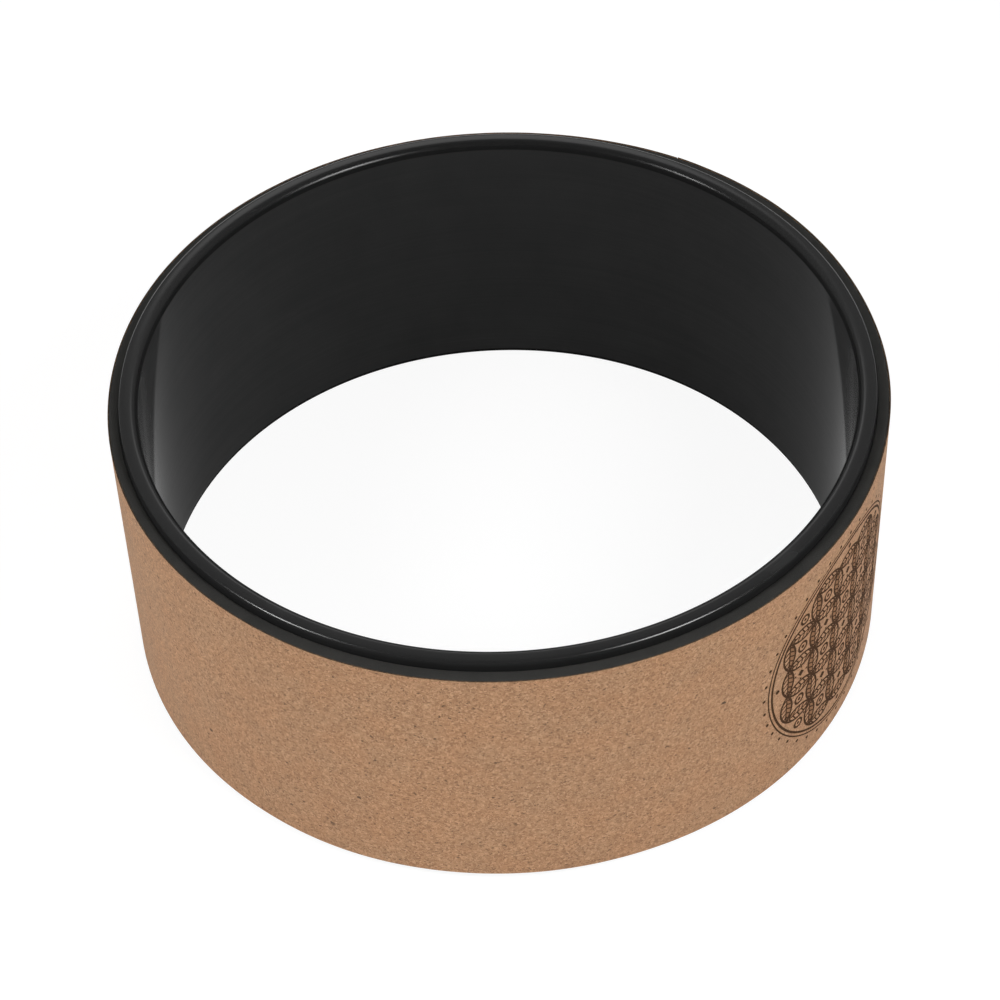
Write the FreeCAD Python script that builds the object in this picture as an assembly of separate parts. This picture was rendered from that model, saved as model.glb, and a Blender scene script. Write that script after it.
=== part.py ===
import FreeCAD, Part
import math
import os

# Yoga wheel: a moulded hoop wrapped in a foam layer and a cork cover, lying on its rim.
# Millimetres. +Z runs along the wheel's axis, and z = 0 is the surface that the rim rests on.
# The layers are described from the outside inwards, as they would be peeled off on a bench.

# Driving dimensions of the whole wheel
wheel_diameter = 325.0          # over the cork
wheel_width = 130.0             # from rim crest to rim crest

# The wrapped layers, as thicknesses
cork_thickness = 0.5
cork_bond_thickness = 0.3       # adhesive film under the cork
foam_thickness = 3.7
foam_bond_thickness = 0.3       # adhesive film under the foam
bond_clearance = 0.15           # between a film and each face that it joins, for their unevenness

# The moulded hoop and the rounded rims that close its two ends
hoop_wall = 7.9
rim_stand = 4.6                 # how far a rim's crest stands past the ends of the wrapped layers
rim_outer_round = 1.9           # small round on the side of the layers
rim_land = 2.4                  # flat strip along the crest, which the wheel rests on

# The ends of the wrapped strips, which meet in a butt joint at the back of the wheel
foam_end_gap = 0.4
cork_end_gap = 0.3
foam_joint_angle = 90.0         # degrees from +X towards +Y
cork_joint_angle = 59.0         # kept away from the foam's joint, so that the two don't line up
foam_edge_round = 0.6           # softened corner along the foam's two edges, on the hoop's side

# Radii, from the outside inwards
cork_outer = wheel_diameter / 2
cork_inner = cork_outer - cork_thickness
cork_bond_outer = cork_inner - bond_clearance
cork_bond_inner = cork_bond_outer - cork_bond_thickness
foam_outer = cork_bond_inner - bond_clearance
foam_inner = foam_outer - foam_thickness
foam_bond_outer = foam_inner - bond_clearance
foam_bond_inner = foam_bond_outer - foam_bond_thickness
hoop_outer = foam_bond_inner - bond_clearance
hoop_inner = hoop_outer - hoop_wall
land_outer = hoop_outer - rim_outer_round
land_inner = land_outer - rim_land
rim_inner_round = land_inner - hoop_inner       # the large round, which takes the rest of the wall

# Heights along the axis
band_low = rim_stand
band_high = wheel_width - rim_stand

ORIGIN = FreeCAD.Vector(0, 0, 0)
AXIS = FreeCAD.Vector(0, 0, 1)
FULL_TURN = 360.0


def at(radius, height):
    """A point of a section, which is drawn in the XZ plane and then turned about the axis."""
    return FreeCAD.Vector(radius, 0, height)


def line(start, end):
    return Part.LineSegment(start, end).toShape()


def quarter_round(wall_point, land_point):
    """The quarter round from the end of an upright wall to the edge of a flat land."""
    curve = Part.BezierCurve()
    curve.setPoles([wall_point, at(wall_point.x, land_point.z), land_point])
    curve.setWeight(2, math.cos(math.pi / 4))
    return curve.toShape()


def turned(edges, angle=FULL_TURN, start_angle=0.0):
    """The solid that a closed section makes when it is turned about the wheel's axis."""
    section = Part.Face(Part.Wire(Part.__sortEdges__(edges)))
    section.rotate(ORIGIN, AXIS, start_angle)
    return section.revolve(ORIGIN, AXIS, angle)


def band_section(inner, outer, low, high):
    """The four edges of a plain band's section."""
    corners = [at(inner, low), at(outer, low), at(outer, high), at(inner, high)]
    return [line(corners[i - 1], corners[i]) for i in range(len(corners))]


def strip(edges, end_gap, joint_angle, radius):
    """A band wrapped round the wheel, open by end_gap at joint_angle."""
    gap_angle = math.degrees(end_gap / radius)
    return turned(edges, FULL_TURN - gap_angle, joint_angle + gap_angle / 2)


def make_core_hoop():
    """The moulded hoop: a straight wall that ends in a rim at each end, with a large round inside the hoop."""
    edges = [line(at(hoop_inner, rim_inner_round), at(hoop_inner, wheel_width - rim_inner_round)),
             line(at(hoop_outer, rim_outer_round), at(hoop_outer, wheel_width - rim_outer_round))]
    for crest, inward in ((0.0, 1), (wheel_width, -1)):
        inner_end = at(hoop_inner, crest + inward * rim_inner_round)
        outer_end = at(hoop_outer, crest + inward * rim_outer_round)
        edges.append(quarter_round(inner_end, at(land_inner, crest)))
        edges.append(line(at(land_inner, crest), at(land_outer, crest)))
        edges.append(quarter_round(outer_end, at(land_outer, crest)))
    return turned(edges)


def make_bond(inner, outer):
    """An adhesive film, spread over the whole width of the band that it holds."""
    return turned(band_section(inner, outer, band_low, band_high))


def make_foam_layer():
    """The foam strip, with its edges softened where they meet the rims."""
    soft_inner = foam_inner + foam_edge_round
    soft_low = band_low + foam_edge_round
    soft_high = band_high - foam_edge_round
    edges = [line(at(foam_inner, soft_low), at(foam_inner, soft_high)),
             quarter_round(at(foam_inner, soft_high), at(soft_inner, band_high)),
             line(at(soft_inner, band_high), at(foam_outer, band_high)),
             line(at(foam_outer, band_high), at(foam_outer, band_low)),
             line(at(foam_outer, band_low), at(soft_inner, band_low)),
             quarter_round(at(foam_inner, soft_low), at(soft_inner, band_low))]
    return strip(edges, foam_end_gap, foam_joint_angle, foam_outer)


def make_cork_cover():
    """The cork strip that makes the wheel's tread."""
    return strip(band_section(cork_inner, cork_outer, band_low, band_high),
                 cork_end_gap, cork_joint_angle, cork_outer)


NODES = {
    "core_hoop": make_core_hoop(),
    "foam_bond": make_bond(foam_bond_inner, foam_bond_outer),
    "foam_layer": make_foam_layer(),
    "cork_bond": make_bond(cork_bond_inner, cork_bond_outer),
    "cork_cover": make_cork_cover(),
}

os.makedirs("parts", exist_ok=True)
for node, shape in NODES.items():
    shape.exportStep("parts/%s.step" % node)
    box = shape.BoundBox
    print("%s: %d solid, valid %s, %.0f mm3, z %.2f to %.2f, radius %.2f"
          % (node, len(shape.Solids), shape.isValid(), shape.Volume, box.ZMin, box.ZMax, box.XMax))
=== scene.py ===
import math

import bmesh
import bpy
from mathutils import Matrix, Vector, noise

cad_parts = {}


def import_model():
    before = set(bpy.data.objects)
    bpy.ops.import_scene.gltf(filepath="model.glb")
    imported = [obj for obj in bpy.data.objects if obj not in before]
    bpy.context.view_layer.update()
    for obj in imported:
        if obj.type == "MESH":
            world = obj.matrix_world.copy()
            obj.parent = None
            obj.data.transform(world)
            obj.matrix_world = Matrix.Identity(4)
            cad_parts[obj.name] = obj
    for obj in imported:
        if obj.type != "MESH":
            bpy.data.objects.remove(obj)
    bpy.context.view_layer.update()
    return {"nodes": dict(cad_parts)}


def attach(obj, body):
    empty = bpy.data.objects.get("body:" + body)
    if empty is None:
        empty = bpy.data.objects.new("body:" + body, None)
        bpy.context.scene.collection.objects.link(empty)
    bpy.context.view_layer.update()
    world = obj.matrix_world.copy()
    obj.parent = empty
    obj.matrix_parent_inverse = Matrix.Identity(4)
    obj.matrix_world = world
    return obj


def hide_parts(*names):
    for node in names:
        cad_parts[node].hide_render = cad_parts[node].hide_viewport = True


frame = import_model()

# Yoga wheel, lying on its rim. Metres, in the frame of the solids: +Z along the wheel's axis,
# z = 0 on the surface below it, and the camera on the -Y side.

MM = 0.001
TURN = 2 * math.pi
QUARTER_TURN = math.pi / 2
BODY = "root"

# How finely the bands are turned
SEGMENTS = 720
INNER_ROUND_STEPS = 18
CROWN_STEPS = 8
OUTER_ROUND_STEPS = 10
EDGE_STEPS = 4

# The hoop's rims, as in the solids: a tight outer round, a land and a wide inner round
RIM_OUTER_ROUND = 1.9 * MM
RIM_LAND = 2.4 * MM
RIM_CROWN = math.radians(4.8)   # how far the land tilts at its edges, because it isn't quite flat
# Where the rims turn dull and change their painted shade, by the height part of a face's normal
WALL_SLOPE = 0.02               # less than this is the straight wall
STEEP_INSIDE = 0.55             # less than this is the steep part of the inner round
STEEP_OUTSIDE = 0.70            # less than this is the steep part of the outer round, next to the wrap

# The wrapped strips: where their ends meet, and how their edges look close up
FOAM_JOINT = math.radians(90.0)
FOAM_JOINT_GAP = 0.4 * MM
CORK_JOINT = math.radians(59.0)
CORK_JOINT_GAP = 0.3 * MM
FOAM_EDGE_ROUND = 0.45 * MM
FOAM_LIP = 1.2 * MM             # depth over which the foam closes over the edges of the films
FOAM_LIP_GAP = 0.02 * MM        # from the lip to the hoop and to the cork
FILM_SETBACK = 1.6 * MM         # how far the films stop short of the foam's edges
FILM_EDGE_ROUND = 0.06 * MM
CORK_EDGE_ROUND = 0.12 * MM
CORK_EDGE_SLOPE = 0.4           # above this, the height part of a face's normal is a cut edge's
FOAM_UNEVEN = 0.10 * MM         # ripple along the foam's cut edges
CORK_UNEVEN = 0.05 * MM         # ripple along the cork's cut edges
RIPPLE_PER_METRE = 90.0

# The whole wheel is very slightly out of round: (size, lobes, phase)
LOBES = ((0.10 * MM, 2, 0.6), (0.05 * MM, 3, 1.7), (0.02 * MM, 7, 0.4))

# The wrap stands off the hoop unevenly: (middle, half of the reach, rise) of each bulge or dip
BULGES = ((math.radians(45.0), math.radians(38.0), 1.6 * MM),
          (math.radians(-45.0), math.radians(32.0), 0.7 * MM),
          (math.radians(-115.0), math.radians(18.0), 0.3 * MM),
          (math.radians(180.0), math.radians(42.0), -0.8 * MM))
# The cork's end stands up a little at its joint
END_LIFT = 0.35 * MM
END_LIFT_REACH = math.radians(7.0)


def band_of(node):
    """Inner radius, outer radius, lowest and highest height of a solid band, from its own corners."""
    points = [vertex.co for vertex in frame["nodes"][node].data.vertices]
    radii = [math.hypot(point.x, point.y) for point in points]
    heights = [point.z for point in points]
    return min(radii), max(radii), min(heights), max(heights)


HOOP_INNER, HOOP_OUTER, HOOP_LOW, HOOP_HIGH = band_of("core_hoop")
FOAM_INNER, FOAM_OUTER, BAND_LOW, BAND_HIGH = band_of("foam_layer")
CORK_INNER, CORK_OUTER = band_of("cork_cover")[:2]
BAND_MIDDLE = (BAND_LOW + BAND_HIGH) / 2
RIM_INNER_ROUND = HOOP_OUTER - HOOP_INNER - RIM_LAND - RIM_OUTER_ROUND


def turned_past(angle, middle):
    """The angle from middle on, between minus and plus half a turn."""
    return (angle - middle + math.pi) % TURN - math.pi


def stand_off(angle, radius):
    """How far a point of the wheel stands out from its radius. The bulges are only in what wraps
    the hoop."""
    off = sum(size * math.sin(lobes * angle + phase) for size, lobes, phase in LOBES)
    share = min(max((radius - HOOP_OUTER) / (CORK_OUTER - HOOP_OUTER), 0.0), 1.0)
    for middle, half, rise in BULGES:
        past = turned_past(angle, middle)
        if abs(past) < half:
            off += share * rise * (1 + math.cos(math.pi * past / half)) / 2
    before_end = turned_past(CORK_JOINT, angle)
    if 0 <= before_end < END_LIFT_REACH:
        off += share * END_LIFT * (1 - before_end / END_LIFT_REACH)
    return off


def ripple(angle, radius, size):
    """A small uneven height along a cut edge, the same on each run and with no jump after a full turn."""
    place = Vector((math.cos(angle), math.sin(angle), 0)) * radius * RIPPLE_PER_METRE
    return size * noise.noise(place)


# Meshes

def finish_piece(name, bm, finishes, pick=None):
    """Makes an object of a mesh that rides on the wheel's body. Where it has more than one finish, pick
    gives the number of each face's."""
    bmesh.ops.recalc_face_normals(bm, faces=bm.faces)
    bm.normal_update()
    for face in bm.faces:
        face.material_index = pick(face) if pick else 0
    mesh = bpy.data.meshes.new(name)
    bm.to_mesh(mesh)
    bm.free()
    piece = bpy.data.objects.new(name, mesh)
    bpy.context.scene.collection.objects.link(piece)
    for finish in finishes:
        mesh.materials.append(finish)
    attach(piece, BODY)
    return piece


ON_RIM, ON_WALL, ON_STEEP = range(3)


def hoop_finish_and_painted_shade(face):
    """Which finish a face of the hoop has, each with a base level that is painted shade. The flank under
    the wrap counts as steep.
    """
    middle = face.calc_center_median()
    slope = abs(face.normal.z)
    if math.hypot(middle.x, middle.y) > (HOOP_INNER + HOOP_OUTER) / 2:
        return ON_STEEP if slope < STEEP_OUTSIDE else ON_RIM
    if slope < WALL_SLOPE:
        return ON_WALL
    return ON_STEEP if slope < STEEP_INSIDE else ON_RIM


ON_TREAD, ON_CUT_EDGE = range(2)


def cork_finish(face):
    """Which finish a face of the cork has."""
    return ON_CUT_EDGE if abs(face.normal.z) > CORK_EDGE_SLOPE else ON_TREAD


def turned(section, start=0.0, sweep=TURN, uneven=0.0):
    """Turns a closed section, a list of (radius, height), about Z, and closes the ends of a part turn."""
    bm = bmesh.new()
    closed = sweep >= TURN
    stations = SEGMENTS if closed else SEGMENTS + 1
    rings = []
    for i in range(stations):
        angle = start + sweep * i / SEGMENTS
        ring = []
        for radius, height in section:
            share = (height - BAND_MIDDLE) / (BAND_HIGH - BAND_MIDDLE)
            lift = ripple(angle, radius, uneven) * share
            reach = radius + stand_off(angle, radius)
            ring.append(bm.verts.new((reach * math.cos(angle), reach * math.sin(angle), height + lift)))
        rings.append(ring)
    for i in range(SEGMENTS):
        here = rings[i]
        there = rings[(i + 1) % stations]
        for j in range(len(section)):
            k = (j + 1) % len(section)
            bm.faces.new((here[j], there[j], there[k], here[k])).smooth = True
    if not closed:
        bm.faces.new(rings[0])
        bm.faces.new(rings[-1])
    return bm


def arc(centre, radius, start, end, steps):
    """Points of an arc about centre, from start to end in quarter turns."""
    points = []
    for i in range(steps + 1):
        turn = (start + (end - start) * i / steps) * QUARTER_TURN
        points.append((centre[0] + radius * math.cos(turn), centre[1] + radius * math.sin(turn)))
    return points


def along_wall(radius, low, high, margin):
    """Points up a straight wall, with one close to each end so that its shading stays flat."""
    return [(radius, low + margin), (radius, (low + high) / 2), (radius, high - margin)]


def closed_section(outer_wall, end, inner_wall, low, high):
    """A band's whole section, from its two walls, drawn upwards, and its end, drawn from the outside
    inwards as points of (radius, height past the band's top). The end is mirrored at the bottom."""
    points = list(outer_wall)
    points += [(radius, high + height) for radius, height in end]
    points += reversed(inner_wall)
    points += [(radius, low - height) for radius, height in reversed(end)]
    return points


def rounded_end(inner, outer, edge):
    """A band's flat end, with both corners rounded by edge."""
    points = arc((outer - edge, -edge), edge, 0, 1, EDGE_STEPS)
    points += [(outer - 2 * edge, 0.0), (inner + 2 * edge, 0.0)]
    points += arc((inner + edge, -edge), edge, 1, 2, EDGE_STEPS)
    return points


def rounded_section(inner, outer, low, high, edge):
    """A band with its four corners rounded by edge."""
    outer_wall = along_wall(outer, low + edge, high - edge, edge)
    inner_wall = along_wall(inner, low + edge, high - edge, edge)
    return closed_section(outer_wall, rounded_end(inner, outer, edge), inner_wall, low, high)


def rim_end():
    """A rim: the tight outer round, the land with its slight crown, and the wide inner round."""
    outer = RIM_OUTER_ROUND
    inner = RIM_INNER_ROUND
    outer_middle = HOOP_OUTER - outer
    inner_middle = HOOP_INNER + inner
    half = (RIM_LAND + (outer + inner) * math.sin(RIM_CROWN)) / 2
    crown = half / math.sin(RIM_CROWN)
    crown_middle = outer_middle + outer * math.sin(RIM_CROWN) - half
    sag = crown * (1 - math.cos(RIM_CROWN))
    outer_drop = sag + outer * math.cos(RIM_CROWN)
    inner_drop = sag + inner * math.cos(RIM_CROWN)
    tilt = RIM_CROWN / QUARTER_TURN
    points = arc((outer_middle, -outer_drop), outer, 0, 1 - tilt, OUTER_ROUND_STEPS)[:-1]
    points += arc((crown_middle, -crown), crown, 1 - tilt, 1 + tilt, CROWN_STEPS)
    points += arc((inner_middle, -inner_drop), inner, 1 + tilt, 2, INNER_ROUND_STEPS)[1:]
    return points


def hoop_section():
    """The hoop: two straight walls joined at each end by a rim that is rounder on the inside."""
    outer = RIM_OUTER_ROUND
    inner = RIM_INNER_ROUND
    outer_wall = along_wall(HOOP_OUTER, HOOP_LOW + outer, HOOP_HIGH - outer, outer)
    inner_wall = along_wall(HOOP_INNER, HOOP_LOW + inner, HOOP_HIGH - inner, inner)
    return closed_section(outer_wall, rim_end(), inner_wall, HOOP_LOW, HOOP_HIGH)


def foam_section():
    """The foam: its body lies between the two films, and a lip at each edge closes over them."""
    lip_heights = (BAND_LOW + FOAM_LIP, BAND_HIGH - FOAM_LIP)
    outer_wall = [(FOAM_OUTER, height) for height in lip_heights]
    inner_wall = [(FOAM_INNER, height) for height in lip_heights]
    lip = rounded_end(HOOP_OUTER + FOAM_LIP_GAP, CORK_INNER - FOAM_LIP_GAP, FOAM_EDGE_ROUND)
    return closed_section(outer_wall, lip, inner_wall, BAND_LOW, BAND_HIGH)


def strip(section, joint, gap, uneven):
    """A section wrapped round the wheel, open by gap at the joint."""
    gap_angle = gap / CORK_OUTER
    return turned(section, joint + gap_angle / 2, TURN - gap_angle, uneven)


# Helpers for materials

def grey(level):
    """A neutral colour."""
    return (level, level, level)


def opaque(colour):
    """A colour with the fourth part that sockets ask for."""
    return (*colour, 1.0)


def new_material(name):
    """A material with its node tree, its principled shader, and the place on the object as coordinates."""
    material = bpy.data.materials.new(name)
    material.use_nodes = True
    tree = material.node_tree
    shader = tree.nodes["Principled BSDF"]
    place = tree.nodes.new("ShaderNodeTexCoord").outputs["Object"]
    return material, tree, shader, place


def put(tree, value, socket):
    """Links an output to a socket, or sets the socket to a plain value."""
    if isinstance(value, bpy.types.NodeSocket):
        tree.links.new(value, socket)
    elif value is not None:
        socket.default_value = value


def stretched(tree, place, scale):
    """Texture coordinates scaled apart along X, Y and Z."""
    node = tree.nodes.new("ShaderNodeMapping")
    put(tree, place, node.inputs["Vector"])
    node.inputs["Scale"].default_value = scale
    return node.outputs["Vector"]


def noise_map(tree, place, per_metre, detail=2.0, roughness=0.5, output="Fac"):
    """Soft noise, as a level or, with the output Color, as a colour."""
    node = tree.nodes.new("ShaderNodeTexNoise")
    put(tree, place, node.inputs["Vector"])
    node.inputs["Scale"].default_value = per_metre
    node.inputs["Detail"].default_value = detail
    node.inputs["Roughness"].default_value = roughness
    return node.outputs[output]


def cells(tree, place, per_metre, feature="F1"):
    """A node that splits space into cells, each with a colour of its own."""
    node = tree.nodes.new("ShaderNodeTexVoronoi")
    node.feature = feature
    put(tree, place, node.inputs["Vector"])
    node.inputs["Scale"].default_value = per_metre
    return node


def cell_level(tree, cell):
    """A level that is even within each cell and random from one to the next."""
    node = tree.nodes.new("ShaderNodeSeparateColor")
    put(tree, cell.outputs["Color"], node.inputs["Color"])
    return node.outputs["Red"]


def cell_walls(tree, place, per_metre):
    """The distance to the nearest wall between two cells."""
    return cells(tree, place, per_metre, "DISTANCE_TO_EDGE").outputs["Distance"]


def ranged(tree, value, low, high, to_low=0.0, to_high=1.0):
    """Maps low to high onto to_low to to_high, and holds it there."""
    node = tree.nodes.new("ShaderNodeMapRange")
    put(tree, value, node.inputs["Value"])
    for name, number in (("From Min", low), ("From Max", high), ("To Min", to_low), ("To Max", to_high)):
        node.inputs[name].default_value = number
    return node.outputs["Result"]


def mixed(tree, factor, first, second, blend="MIX"):
    """Two colours blended by a factor."""
    node = tree.nodes.new("ShaderNodeMix")
    node.data_type = "RGBA"
    node.blend_type = blend
    put(tree, factor, node.inputs["Factor"])
    put(tree, first, node.inputs["A"])
    put(tree, second, node.inputs["B"])
    return node.outputs["Result"]


def math_node(tree, operation, first, second):
    """One sum on two levels."""
    node = tree.nodes.new("ShaderNodeMath")
    node.operation = operation
    put(tree, first, node.inputs[0])
    put(tree, second, node.inputs[1])
    return node.outputs["Value"]


def times(tree, first, second):
    """The product of two levels."""
    return math_node(tree, "MULTIPLY", first, second)


def blended(tree, first, second, share):
    """Two levels added up, the first by its share and the second by the rest."""
    return math_node(tree, "ADD", times(tree, first, share), times(tree, second, 1 - share))


def ramp(tree, value, stops):
    """A colour ramp with stops of (place, colour)."""
    node = tree.nodes.new("ShaderNodeValToRGB")
    put(tree, value, node.inputs["Fac"])
    elements = node.color_ramp.elements
    while len(elements) < len(stops):
        elements.new(0.5)
    for element, (where, colour) in zip(elements, stops):
        element.position = where
        element.color = opaque(colour)
    return node.outputs["Color"]


def bumped(tree, shader, height, depth, strength=1.0):
    """Relief of that depth, in metres, from a height between 0 and 1."""
    node = tree.nodes.new("ShaderNodeBump")
    put(tree, height, node.inputs["Height"])
    node.inputs["Distance"].default_value = depth
    node.inputs["Strength"].default_value = strength
    put(tree, node.outputs["Normal"], shader.inputs["Normal"])


# Finishes. Textures are measured in features per metre, along X, Y and Z where there are three numbers.

NOISE_RANGE = (0.3, 0.7)        # where most levels of a soft noise lie

# The hoop's finishes, in the order of ON_RIM, ON_WALL and ON_STEEP: name, base level, gloss, and the
# lowest and highest roughness. The base levels are painted light and shade on one black plastic: the
# wall's base is painted paler, and the rim's and the steep faces' bases are painted darker.
HOOP_FINISHES_AND_PAINTED_SHADES = (("hoop_plastic_rim", 0.0125, 0.5, 0.18, 0.24),
                 ("hoop_plastic_wall", 0.040, 0.010, 0.05, 0.09),
                 ("hoop_plastic_steep", 0.017, 0.0, 0.12, 0.18))
HOOP_RELIEF = 0.002 * MM
HOOP_LINES = (6.0, 6.0, 900.0)
HOOP_LINE_SHADES = ((0.35, grey(0.92)), (0.65, grey(1.0)))
HOOP_LINE_WEAR = 0.5            # the lines' share in the roughness
HOOP_LINE_RELIEF = 0.4          # the lines' share in the relief
HOOP_CLOUDS = 35.0
HOOP_CLOUD_DARKEST = 0.97       # share of the base level
HOOP_CLOUD_PALEST = 1.09
HOOP_ORANGE_PEEL = 600.0
# Dust and scuffs: the range of the noise over which they set in, their share and their colour
DUST = 2600.0
DUST_RANGE = (0.70, 0.80)
DUST_SHARE = 0.10
DUST_COLOUR = grey(0.10)
SCUFFS = (30.0, 30.0, 420.0)
SCUFF_RANGE = (0.66, 0.76)
SCUFF_SHARE = 0.12
SCUFF_COLOUR = grey(0.06)


def hoop_plastic(name, level, gloss, smoothest, roughest):
    """Black moulded plastic: fine lines round the wheel, soft mottling, faint scuffs and a little dust, on
    a base level that carries painted light and shade set for its place on the hoop.
    """
    material, tree, shader, place = new_material(name)
    lines = noise_map(tree, stretched(tree, place, HOOP_LINES), 1.0, detail=3.0, roughness=0.6)
    clouds = noise_map(tree, place, HOOP_CLOUDS, detail=4.0)
    orange_peel = noise_map(tree, place, HOOP_ORANGE_PEEL, detail=1.0)
    dust = ranged(tree, noise_map(tree, place, DUST, detail=1.0), *DUST_RANGE)
    scuffs = noise_map(tree, stretched(tree, place, SCUFFS), 1.0, detail=2.0, roughness=0.6)
    scuffs = ranged(tree, scuffs, *SCUFF_RANGE)
    darkest = grey(level * HOOP_CLOUD_DARKEST)
    palest = grey(level * HOOP_CLOUD_PALEST)
    base = ramp(tree, clouds, ((0.3, darkest), (0.7, palest)))
    base = mixed(tree, 1.0, base, ramp(tree, lines, HOOP_LINE_SHADES), "MULTIPLY")
    base = mixed(tree, times(tree, dust, DUST_SHARE), base, opaque(DUST_COLOUR))
    base = mixed(tree, times(tree, scuffs, SCUFF_SHARE), base, opaque(SCUFF_COLOUR))
    put(tree, base, shader.inputs["Base Color"])
    shader.inputs["Specular IOR Level"].default_value = gloss
    worn = blended(tree, lines, clouds, HOOP_LINE_WEAR)
    put(tree, ranged(tree, worn, *NOISE_RANGE, smoothest, roughest), shader.inputs["Roughness"])
    bumped(tree, shader, blended(tree, lines, orange_peel, HOOP_LINE_RELIEF), HOOP_RELIEF)
    return material


FOAM_CELLS = 2200.0
FOAM_BLOOM = 120.0
FOAM_TONES = ((0.3, (0.0150, 0.0150, 0.0136)), (0.7, (0.0232, 0.0223, 0.0204)))
FOAM_WALL = (0.052, 0.050, 0.046)
FOAM_WALL_REACH = 0.12          # how far into a cell its paler wall shows
FOAM_WALL_SHARE = 0.35
FOAM_ROUGHNESS = 0.8
FOAM_RELIEF = 0.12 * MM


def foam():
    """Black closed-cell foam: matt, with fine cut cells and a faint dusty bloom."""
    material, tree, shader, place = new_material("foam")
    cell = cells(tree, place, FOAM_CELLS)
    wall = cell_walls(tree, place, FOAM_CELLS)
    near_wall = ranged(tree, wall, 0.0, FOAM_WALL_REACH, FOAM_WALL_SHARE, 0.0)
    base = ramp(tree, noise_map(tree, place, FOAM_BLOOM, detail=4.0), FOAM_TONES)
    base = mixed(tree, near_wall, base, opaque(FOAM_WALL))
    put(tree, base, shader.inputs["Base Color"])
    shader.inputs["Roughness"].default_value = FOAM_ROUGHNESS
    bumped(tree, shader, cell.outputs["Distance"], FOAM_RELIEF, strength=0.7)
    return material


CORK_GRANULES = 1250.0
CORK_TONES = ((0.0, (0.345, 0.181, 0.090)), (0.35, (0.485, 0.268, 0.142)),
              (0.7, (0.550, 0.314, 0.170)), (1.0, (0.660, 0.400, 0.232)))
# The granules' outlines are pushed about by a noise, by this share of it
CORK_WARP = 700.0
CORK_WARP_SHARE = 0.0012
CORK_BLOTCHES = 60.0
CORK_TINTS = ((0.35, (1.0, 0.972, 0.948)), (0.65, (0.968, 0.986, 1.0)))
CORK_FINE_GRAIN = 2600.0
CORK_SHADES = ((0.3, (0.62, 0.60, 0.58)), (0.7, grey(1.0)))
CORK_SHADE_SHARE = 0.50
CORK_RESIN = (0.230, 0.120, 0.062)
CORK_RESIN_REACH = 0.10         # how far into a granule its dark resin line shows
CORK_RESIN_SHARE = 0.30
# Dark specks: cells per metre, the share of them without one, their reach in the cell, and their strength
CORK_SPECKS = ((900.0, 0.86, 0.55, 0.60), (520.0, 0.970, 0.42, 0.85), (260.0, 0.988, 0.36, 0.95))
CORK_SPECK = (0.085, 0.044, 0.024)
CORK_SPECK_STRETCH = (1.0, 1.0, 1.5)
CORK_SPECK_ONSET = 0.01         # how quickly a cell's level makes it one with a speck
CORK_ROUGHNESS = (0.62, 0.80)
CORK_GLOSS = 0.3
# The relief's depth, the shares in it of the granules and of the fine grain, and the reach over which
# a granule rises from its edges
CORK_RELIEF = 0.10 * MM
CORK_GRANULE_RELIEF = 0.6
CORK_FINE_RELIEF = 0.4
CORK_GRANULE_REACH = 0.15


def cork():
    """Fine-grained cork: granules in close tans, thin resin lines, dark specks and flecks of bark."""
    material, tree, shader, place = new_material("cork")
    push = noise_map(tree, place, CORK_WARP, detail=1.0, output="Color")
    warped = mixed(tree, CORK_WARP_SHARE, place, push, "LINEAR_LIGHT")
    tone = cell_level(tree, cells(tree, warped, CORK_GRANULES))
    base = ramp(tree, tone, CORK_TONES)
    tint = ramp(tree, noise_map(tree, place, CORK_BLOTCHES, detail=3.0), CORK_TINTS)
    base = mixed(tree, 1.0, base, tint, "MULTIPLY")
    fine = noise_map(tree, place, CORK_FINE_GRAIN, detail=2.0, roughness=0.6)
    base = mixed(tree, CORK_SHADE_SHARE, base, ramp(tree, fine, CORK_SHADES), "MULTIPLY")
    resin = cell_walls(tree, warped, CORK_GRANULES)
    near_resin = ranged(tree, resin, 0.0, CORK_RESIN_REACH, CORK_RESIN_SHARE, 0.0)
    base = mixed(tree, near_resin, base, opaque(CORK_RESIN))
    for per_metre, bare_share, reach, strength in CORK_SPECKS:
        cell = cells(tree, stretched(tree, warped, CORK_SPECK_STRETCH), per_metre)
        chosen = ranged(tree, cell_level(tree, cell), bare_share, bare_share + CORK_SPECK_ONSET)
        core = ranged(tree, cell.outputs["Distance"], reach / 2, reach, 1.0, 0.0)
        dark = times(tree, times(tree, chosen, core), strength)
        base = mixed(tree, dark, base, opaque(CORK_SPECK))
    put(tree, base, shader.inputs["Base Color"])
    put(tree, ranged(tree, tone, 0.0, 1.0, *CORK_ROUGHNESS), shader.inputs["Roughness"])
    shader.inputs["Specular IOR Level"].default_value = CORK_GLOSS
    raised = ranged(tree, resin, 0.0, CORK_GRANULE_REACH, 0.0, CORK_GRANULE_RELIEF)
    relief = math_node(tree, "ADD", times(tree, fine, CORK_FINE_RELIEF), raised)
    bumped(tree, shader, relief, CORK_RELIEF, strength=0.8)
    return material


CUT_GRANULES = 1400.0
CUT_TONES = ((0.0, (0.040, 0.026, 0.016)), (0.6, (0.070, 0.046, 0.028)), (1.0, (0.120, 0.078, 0.046)))
CUT_ROUGHNESS = 0.8
CUT_GLOSS = 0.2
CUT_RELIEF = 0.05 * MM


def cork_edge():
    """The cork's cut edge: dark and a little glossy, with the granules cut through."""
    material, tree, shader, place = new_material("cork_edge")
    tone = cell_level(tree, cells(tree, place, CUT_GRANULES))
    put(tree, ramp(tree, tone, CUT_TONES), shader.inputs["Base Color"])
    shader.inputs["Roughness"].default_value = CUT_ROUGHNESS
    shader.inputs["Specular IOR Level"].default_value = CUT_GLOSS
    bumped(tree, shader, tone, CUT_RELIEF, strength=0.6)
    return material


INK_SOAK = 900.0
INK_ROUGHNESS = 0.9
INK_GLOSS = 0.05
INK_RELIEF = 0.05 * MM
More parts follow.
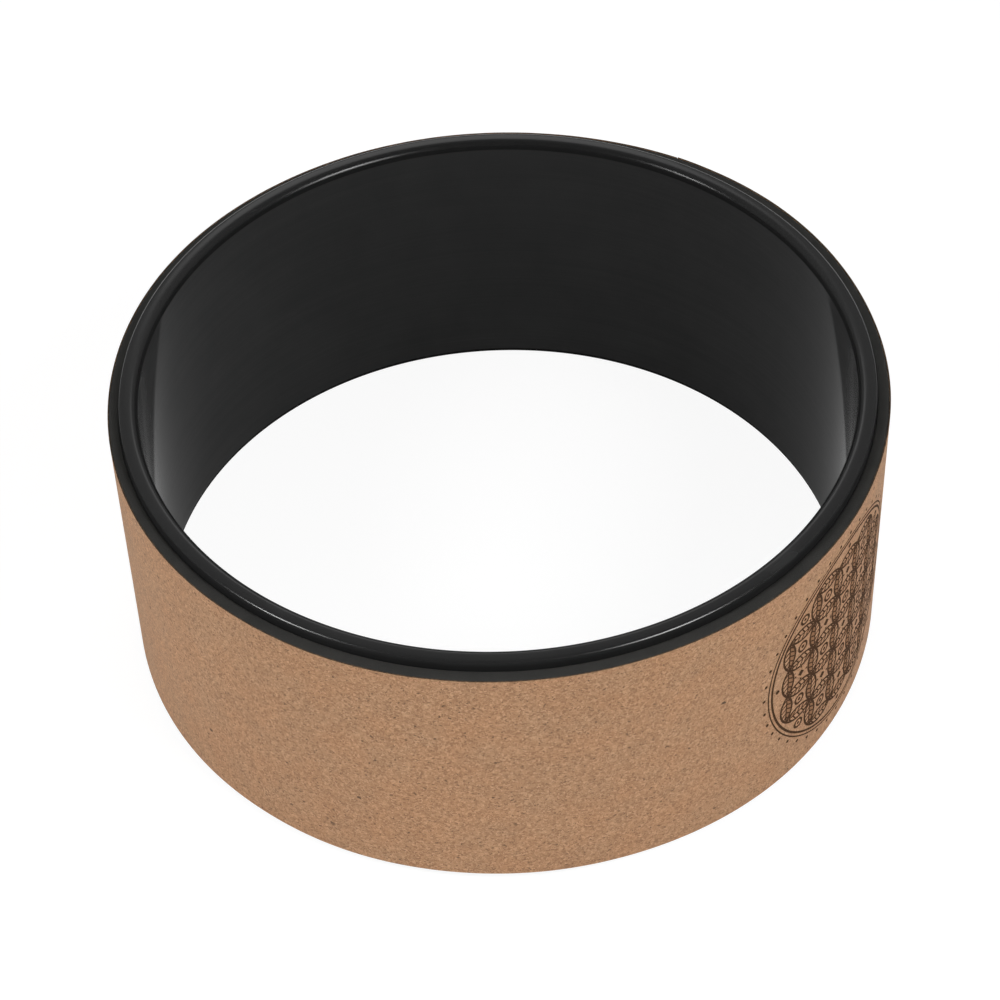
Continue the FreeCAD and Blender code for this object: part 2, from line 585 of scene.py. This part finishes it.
# The two inks' tones, from where they lie thickest to where they lie thinnest
DARK_INK = ((0.25, (0.048, 0.024, 0.013)), (0.55, (0.066, 0.034, 0.019)), (0.75, (0.125, 0.067, 0.037)))
PALE_INK = ((0.25, (0.250, 0.132, 0.071)), (0.55, (0.300, 0.160, 0.086)), (0.75, (0.380, 0.208, 0.112)))


def ink(name, tones):
    """Brown ink that has sunk unevenly into the granules."""
    material, tree, shader, place = new_material(name)
    soak = noise_map(tree, place, INK_SOAK, detail=3.0, roughness=0.6)
    put(tree, ramp(tree, soak, tones), shader.inputs["Base Color"])
    shader.inputs["Roughness"].default_value = INK_ROUGHNESS
    shader.inputs["Specular IOR Level"].default_value = INK_GLOSS
    bumped(tree, shader, soak, INK_RELIEF, strength=0.6)
    return material


GLUE_STREAKS = (40.0, 40.0, 600.0)
GLUE_TONES = ((0.3, (0.42, 0.35, 0.20)), (0.7, (0.55, 0.48, 0.32)))
GLUE_ROUGHNESS = (0.25, 0.45)
GLUE_RELIEF = 0.03 * MM


def adhesive():
    """Clear yellowish glue film with brush streaks."""
    material, tree, shader, place = new_material("adhesive")
    streak = noise_map(tree, stretched(tree, place, GLUE_STREAKS), 1.0, detail=3.0)
    put(tree, ramp(tree, streak, GLUE_TONES), shader.inputs["Base Color"])
    put(tree, ranged(tree, streak, *NOISE_RANGE, *GLUE_ROUGHNESS), shader.inputs["Roughness"])
    bumped(tree, shader, streak, GLUE_RELIEF)
    return material


# The print. Its points are drawn flat, from its centre: to the right along the tread, and up it

PRINT_ANGLE = math.radians(-32.0)
PRINT_SINK = 0.06 * MM
PRINT_CENTRE = (0.0, 0.0)
# The linked circles, and the spacing at which their lenses meet at the tips
LINK_RADIUS = 11.5 * MM
LINK_SPACING = LINK_RADIUS * math.sqrt(2)
LINKS_ACROSS = 2                # how many circles the field has on either side of the middle one
LINKS_REACH = 5.5               # square of how far out from it they go, in spacings
LINE = 1.1 * MM
VEIN_LINE = 0.7 * MM
VEIN_SPACING = 2.7 * MM
VEIN_START = 0.75               # how far the first vein lies from the lens's tip, in spacings
VEIN_SLANT = 1.6 * MM
VEIN_REACH = 0.80               # how far out the veins go, as a share of the lens's half-width
WASH_LIFT = 0.02 * MM
LINK_LIFTS = (0.04 * MM, 0.05 * MM)     # neighbours lie at different levels, so that none coincide
PRINT_LIFT = LINK_LIFTS[0]      # of all that isn't a linked circle or the edge of a lens
# What sits at the circles' centres: a ring with a dot, or a diamond with four dots round it
HEART_RING = 2.5 * MM
HEART_DOT = 0.9 * MM
DIAMOND = 1.9 * MM
DIAMOND_DOTS_OUT = 3.5 * MM
DIAMOND_DOT = 0.6 * MM
# Rings round the links: radius and line width
FRAME_RINGS = ((50.0 * MM, 1.1 * MM), (52.0 * MM, 0.7 * MM))
# Dots in rings: their distance from the centre, number, radius, and how far the first is turned
DOT_RINGS = ((46.9 * MM, 4, 1.1 * MM, 0.0), (40.5 * MM, 4, 0.6 * MM, TURN / 8),
             (54.4 * MM, 40, 0.8 * MM, 0.0))
# The small rosettes in the gaps between the links and the rings
ROSETTES = 4
ROSETTE_DISTANCE = 45.4 * MM
ROSETTE_RADIUS = 2.3 * MM
# How many sides the circles have, and how many steps a lens
LINK_SIDES = 64
FRAME_SIDES = 180
RING_SIDES = 24
DOT_SIDES = 10
SMALL_DOT_SIDES = 8
DIAMOND_SIDES = 4
LENS_STEPS = 12


def on_tread(point, lift):
    """The place on the tread of a point of the print, lifted off it."""
    angle = PRINT_ANGLE + point[0] / CORK_OUTER
    radius = CORK_OUTER + stand_off(angle, CORK_OUTER) + lift
    return Vector((radius * math.cos(angle), radius * math.sin(angle), BAND_MIDDLE + point[1]))


def stroke(bm, points, width, lift, closed=False):
    """A line of that width along the points, as a thin closed solid."""
    count = len(points)
    rings = []
    for i, point in enumerate(points):
        before = points[i - 1] if i or closed else point
        after = points[(i + 1) % count] if i < count - 1 or closed else point
        along = Vector((after[0] - before[0], after[1] - before[1])).normalized()
        side = Vector((-along.y, along.x)) * width / 2
        left = (point[0] + side.x, point[1] + side.y)
        right = (point[0] - side.x, point[1] - side.y)
        corners = ((left, lift), (right, lift), (right, -PRINT_SINK), (left, -PRINT_SINK))
        rings.append([bm.verts.new(on_tread(corner, height)) for corner, height in corners])
    for i in range(count if closed else count - 1):
        here = rings[i]
        there = rings[(i + 1) % count]
        for j in range(len(here)):
            k = (j + 1) % len(here)
            bm.faces.new((here[j], here[k], there[k], there[j]))
    if not closed:
        bm.faces.new(rings[0])
        bm.faces.new(rings[-1])


def blob(bm, points, lift):
    """A filled outline, as a thin closed solid."""
    top = [bm.verts.new(on_tread(point, lift)) for point in points]
    bottom = [bm.verts.new(on_tread(point, -PRINT_SINK)) for point in points]
    bm.faces.new(top)
    bm.faces.new(bottom)
    for i in range(len(points)):
        k = (i + 1) % len(points)
        bm.faces.new((top[i], top[k], bottom[k], bottom[i]))


def from_base(base, heading, along, across):
    """A point that lies along a heading from a base, and across it to the left."""
    return (base[0] + along * math.cos(heading) - across * math.sin(heading),
            base[1] + along * math.sin(heading) + across * math.cos(heading))


def circle(centre, radius, sides):
    """The corners of a regular outline."""
    return [from_base(centre, TURN * i / sides, radius, 0.0) for i in range(sides)]


def small_ring(lines, centre, radius):
    """A ring drawn with the print's usual line."""
    stroke(lines, circle(centre, radius, RING_SIDES), LINE, PRINT_LIFT, closed=True)


def dot(lines, centre, radius, sides=DOT_SIDES):
    """A filled dot."""
    blob(lines, circle(centre, radius, sides), PRINT_LIFT)


def lens_half_width(along):
    """Half the width of a lens between two linked circles, at a distance along it from its middle."""
    return math.sqrt(LINK_RADIUS ** 2 - along ** 2) - LINK_SPACING / 2


def lens(lines, wash, middle, heading, edge_lift=None):
    """What fills a lens: a midrib, slanted veins and a wash of paler ink over one half. Where there is no
    second circle, edge_lift is given, and the lens gets an edge of its own."""
    half = LINK_SPACING / 2
    places = [half * (2 * i / LENS_STEPS - 1) for i in range(LENS_STEPS + 1)]
    rib = [from_base(middle, heading, along, 0) for along in places]
    stroke(lines, rib, VEIN_LINE, PRINT_LIFT)
    bow = [from_base(middle, heading, along, lens_half_width(along)) for along in places]
    blob(wash, rib[1:-1] + bow[-2:0:-1], WASH_LIFT)
    if edge_lift is not None:
        stroke(lines, bow, LINE, edge_lift)
    veins = int(LINK_SPACING / VEIN_SPACING) - 1
    for i in range(veins):
        root = -half + VEIN_SPACING * (i + VEIN_START)
        for side in (1, -1):
            reach = side * VEIN_REACH * lens_half_width(root + VEIN_SLANT)
            start = from_base(middle, heading, root, 0)
            tip = from_base(middle, heading, root + VEIN_SLANT, reach)
            stroke(lines, [start, tip], VEIN_LINE, PRINT_LIFT)


def link_heart(lines, middle, plain):
    """What sits in the gap at a circle's centre: a ring with a dot, or a small diamond with four dots."""
    if plain:
        small_ring(lines, middle, HEART_RING)
        dot(lines, middle, HEART_DOT)
    else:
        dot(lines, middle, DIAMOND, DIAMOND_SIDES)
        for beside in circle(middle, DIAMOND_DOTS_OUT, DIAMOND_SIDES):
            dot(lines, beside, DIAMOND_DOT, SMALL_DOT_SIDES)


def print_links(dark, pale):
    """Linked circles on a square grid, with veined lenses where they cross, in a ring with dots."""
    lines = bmesh.new()
    wash = bmesh.new()
    span = range(-LINKS_ACROSS, LINKS_ACROSS + 1)
    places = [(i, j) for i in span for j in span if i * i + j * j <= LINKS_REACH]
    for i, j in places:
        middle = (i * LINK_SPACING, j * LINK_SPACING)
        odd = (i + j) % 2
        stroke(lines, circle(middle, LINK_RADIUS, LINK_SIDES), LINE, LINK_LIFTS[odd], closed=True)
        link_heart(lines, middle, odd)
        for quarter, (di, dj) in enumerate(((1, 0), (0, 1), (-1, 0), (0, -1))):
            alone = (i + di, j + dj) not in places
            if alone or quarter < 2:
                half_way = (middle[0] + di * LINK_SPACING / 2, middle[1] + dj * LINK_SPACING / 2)
                heading = (quarter + 1) * QUARTER_TURN
                lens(lines, wash, half_way, heading, LINK_LIFTS[1 - odd] if alone else None)
    for radius, width in FRAME_RINGS:
        stroke(lines, circle(PRINT_CENTRE, radius, FRAME_SIDES), width, PRINT_LIFT, closed=True)
    for distance, count, radius, first in DOT_RINGS:
        for i in range(count):
            dot(lines, from_base(PRINT_CENTRE, first + TURN * i / count, distance, 0.0), radius)
    for i in range(ROSETTES):
        place = from_base(PRINT_CENTRE, TURN * (i + 0.5) / ROSETTES, ROSETTE_DISTANCE, 0.0)
        small_ring(lines, place, ROSETTE_RADIUS)
        dot(lines, place, ROSETTE_RADIUS / 3)
    finish_piece("tread_print_wash", wash, [pale])
    finish_piece("tread_print_lines", lines, [dark])


def build_wheel():
    """All pieces of the wheel, from the inside outwards, and the print."""
    # The hoop's three finishes are one plastic, with base levels that are painted light and shade
    hoop_finishes_and_painted_shades = [hoop_plastic(*values) for values in HOOP_FINISHES_AND_PAINTED_SHADES]
    hoop = finish_piece("hoop", turned(hoop_section()), hoop_finishes_and_painted_shades, hoop_finish_and_painted_shade)
    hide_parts("core_hoop")

    film_low = BAND_LOW + FILM_SETBACK
    film_high = BAND_HIGH - FILM_SETBACK
    glue = adhesive()
    for node in ("foam_bond", "cork_bond"):
        inner, outer = band_of(node)[:2]
        section = rounded_section(inner, outer, film_low, film_high, FILM_EDGE_ROUND)
        film = finish_piece(node + "_film", turned(section), [glue])
        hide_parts(node)

    foam_mesh = strip(foam_section(), FOAM_JOINT, FOAM_JOINT_GAP, FOAM_UNEVEN)
    padding = finish_piece("foam_wrap", foam_mesh, [foam()])
    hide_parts("foam_layer")

    section = rounded_section(CORK_INNER, CORK_OUTER, BAND_LOW, BAND_HIGH, CORK_EDGE_ROUND)
    cork_mesh = strip(section, CORK_JOINT, CORK_JOINT_GAP, CORK_UNEVEN)
    tread = finish_piece("cork_tread", cork_mesh, [cork(), cork_edge()], cork_finish)
    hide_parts("cork_cover")

    print_links(ink("print_ink", DARK_INK), ink("print_wash", PALE_INK))


# The stage

# The camera: fitted to the wheel's edges in a picture 1000 pixels wide
PICTURE_PX = 1000
FOCAL_PX = 3014.82
SENSOR_MM = 36.0
CAMERA_ELEVATION = math.radians(46.378)
CAMERA_ROLL = math.radians(-2.0889)
CAMERA_DISTANCE = 1303.413 * MM
CAMERA_TARGET = Vector((-0.648 * MM, 0.0, 54.739 * MM))

# The floor is a plain diffuse white for the light that it throws back, and glows where it is seen
FLOOR_SIZE = 30.0
FLOOR_DIFFUSE = 0.80
FLOOR_SEEN_DIFFUSE = 0.20
FLOOR_SEEN_GLOW = 0.89

# The room's brightness by the height of the direction, from level, 0, to overhead, 1
ROOM_LEVELS = ((0.0, 0.12), (0.25, 0.22), (0.5, 0.34), (0.75, 0.32), (1.0, 0.20))
ROOM_FRONT = 0.45               # share of it that is left on the camera's side
ROOM_FRONT_RANGE = (-0.4, 0.3)  # Y part of the direction over which that share rises to the whole

# Lamps: azimuth and beam in degrees, sizes in metres and power in watts
SOFTBOX_ELEVATION = 45
SOFTBOX_DISTANCE = 1.7
SOFTBOX_AHEAD = 0.45            # how far ahead of the wheel's middle they are aimed
# Name, azimuth, beam, size and power
SOFTBOXES = (("left_softbox", -65, 45, 0.40, 0.93), ("right_softbox", 46, 55, 0.56, 1.7))
FILL_ELEVATION = 25
FILL_DISTANCE = 1.9
FILL_SIZE = 1.5
# Name, azimuth and power
FILLS = (("left_fill", -64, 11.8), ("right_fill", 64, 8.8), ("back_fill", 180, 11.0))
# A panel that faces down behind the wheel and shows as the band of light on the far rim
BACK_PANEL_SIZE = (0.37, 0.38)
BACK_PANEL_PLACE = Vector((-0.035, 0.66, 0.53))
BACK_PANEL_POWER = 0.371
UPWARDS = Vector((0.0, 0.0, 1.0))


def seen_directly(tree):
    """1 for rays from the camera, and for those that gloss or glass sends on."""
    path = tree.nodes.new("ShaderNodeLightPath")
    total = math_node(tree, "ADD", path.outputs["Is Camera Ray"], path.outputs["Is Glossy Ray"])
    total = math_node(tree, "ADD", total, path.outputs["Is Transmission Ray"])
    return math_node(tree, "MINIMUM", total, 1.0)


def floor():
    """A plain white floor that keeps a light shadow of the wheel."""
    bpy.ops.mesh.primitive_plane_add(size=FLOOR_SIZE)
    plane = bpy.context.object
    plane.name = "floor"
    material = bpy.data.materials.new("floor")
    material.use_nodes = True
    tree = material.node_tree
    tree.nodes.remove(tree.nodes["Principled BSDF"])
    shaders = {}
    for name, level in (("lit", FLOOR_DIFFUSE), ("seen", FLOOR_SEEN_DIFFUSE)):
        shaders[name] = tree.nodes.new("ShaderNodeBsdfDiffuse")
        shaders[name].inputs["Color"].default_value = opaque(grey(level))
    glow = tree.nodes.new("ShaderNodeEmission")
    glow.inputs["Strength"].default_value = FLOOR_SEEN_GLOW
    seen = tree.nodes.new("ShaderNodeAddShader")
    tree.links.new(shaders["seen"].outputs[0], seen.inputs[0])
    tree.links.new(glow.outputs[0], seen.inputs[1])
    choice = tree.nodes.new("ShaderNodeMixShader")
    put(tree, seen_directly(tree), choice.inputs["Fac"])
    tree.links.new(shaders["lit"].outputs[0], choice.inputs[1])
    tree.links.new(seen.outputs[0], choice.inputs[2])
    tree.links.new(choice.outputs[0], tree.nodes["Material Output"].inputs["Surface"])
    plane.data.materials.append(material)


def world():
    """A dim room, darker near the horizon, overhead and on the camera's side."""
    scene_world = bpy.data.worlds.new("studio")
    bpy.context.scene.world = scene_world
    scene_world.use_nodes = True
    tree = scene_world.node_tree
    background = tree.nodes["Background"]
    split = tree.nodes.new("ShaderNodeSeparateXYZ")
    put(tree, tree.nodes.new("ShaderNodeTexCoord").outputs["Generated"], split.inputs["Vector"])
    stops = [(height, grey(level)) for height, level in ROOM_LEVELS]
    put(tree, ramp(tree, split.outputs["Z"], stops), background.inputs["Color"])
    strength = ranged(tree, split.outputs["Y"], *ROOM_FRONT_RANGE, ROOM_FRONT, 1.0)
    put(tree, strength, background.inputs["Strength"])


def lamp(name, size, place, towards, power, mirrored=True, beam=math.pi):
    """A rectangular area lamp that faces against towards. The camera doesn't see it, and gloss may."""
    light = bpy.data.lights.new(name, "AREA")
    light.shape = "RECTANGLE"
    light.size, light.size_y = size
    light.energy = power
    light.spread = beam
    holder = bpy.data.objects.new(name, light)
    holder.location = place
    holder.rotation_euler = towards.to_track_quat("Z", "Y").to_euler()
    holder.visible_camera = False
    holder.visible_glossy = mirrored
    bpy.context.scene.collection.objects.link(holder)


def around(azimuth, elevation, distance):
    """A place round the wheel. Azimuth is in degrees from the camera's side, to the right."""
    turn = math.radians(azimuth)
    rise = math.radians(elevation)
    towards = Vector((math.sin(turn) * math.cos(rise), -math.cos(turn) * math.cos(rise), math.sin(rise)))
    return CAMERA_TARGET + towards * distance


def softbox(name, azimuth, beam, size, power):
    """A small square lamp that shows as a highlight on the rims. Its narrow beam is aimed ahead of the
    wheel, on the camera's side, so that the far rims get less of it than the near ones."""
    place = around(azimuth, SOFTBOX_ELEVATION, SOFTBOX_DISTANCE)
    aim = Vector((0.0, -SOFTBOX_AHEAD, HOOP_HIGH))
    lamp(name, (size, size), place, place - aim, power, beam=math.radians(beam))


def fill(name, azimuth, power):
    """A large lamp that lights the tread and isn't mirrored."""
    place = around(azimuth, FILL_ELEVATION, FILL_DISTANCE)
    lamp(name, (FILL_SIZE, FILL_SIZE), place, place - CAMERA_TARGET, power, mirrored=False)


def lamps():
    """All lamps round the wheel."""
    for values in SOFTBOXES:
        softbox(*values)
    for values in FILLS:
        fill(*values)
    lamp("back_panel", BACK_PANEL_SIZE, BACK_PANEL_PLACE, UPWARDS, BACK_PANEL_POWER)


def camera():
    """The camera looks along +Y and down, with a slight roll."""
    optics = bpy.data.cameras.new("camera")
    optics.sensor_width = SENSOR_MM
    optics.lens = FOCAL_PX * SENSOR_MM / PICTURE_PX
    back = Vector((0, -math.cos(CAMERA_ELEVATION), math.sin(CAMERA_ELEVATION)))
    right = Vector((1, 0, 0))
    up = back.cross(right)
    rolled_right = right * math.cos(CAMERA_ROLL) + up * math.sin(CAMERA_ROLL)
    rolled_up = up * math.cos(CAMERA_ROLL) - right * math.sin(CAMERA_ROLL)
    holder = bpy.data.objects.new("camera", optics)
    turn = Matrix((rolled_right, rolled_up, back)).transposed().to_4x4()
    holder.matrix_world = Matrix.Translation(CAMERA_TARGET + back * CAMERA_DISTANCE) @ turn
    bpy.context.scene.collection.objects.link(holder)
    bpy.context.scene.camera = holder


build_wheel()
floor()
world()
lamps()
camera()
bpy.context.scene.view_settings.view_transform = "Standard"
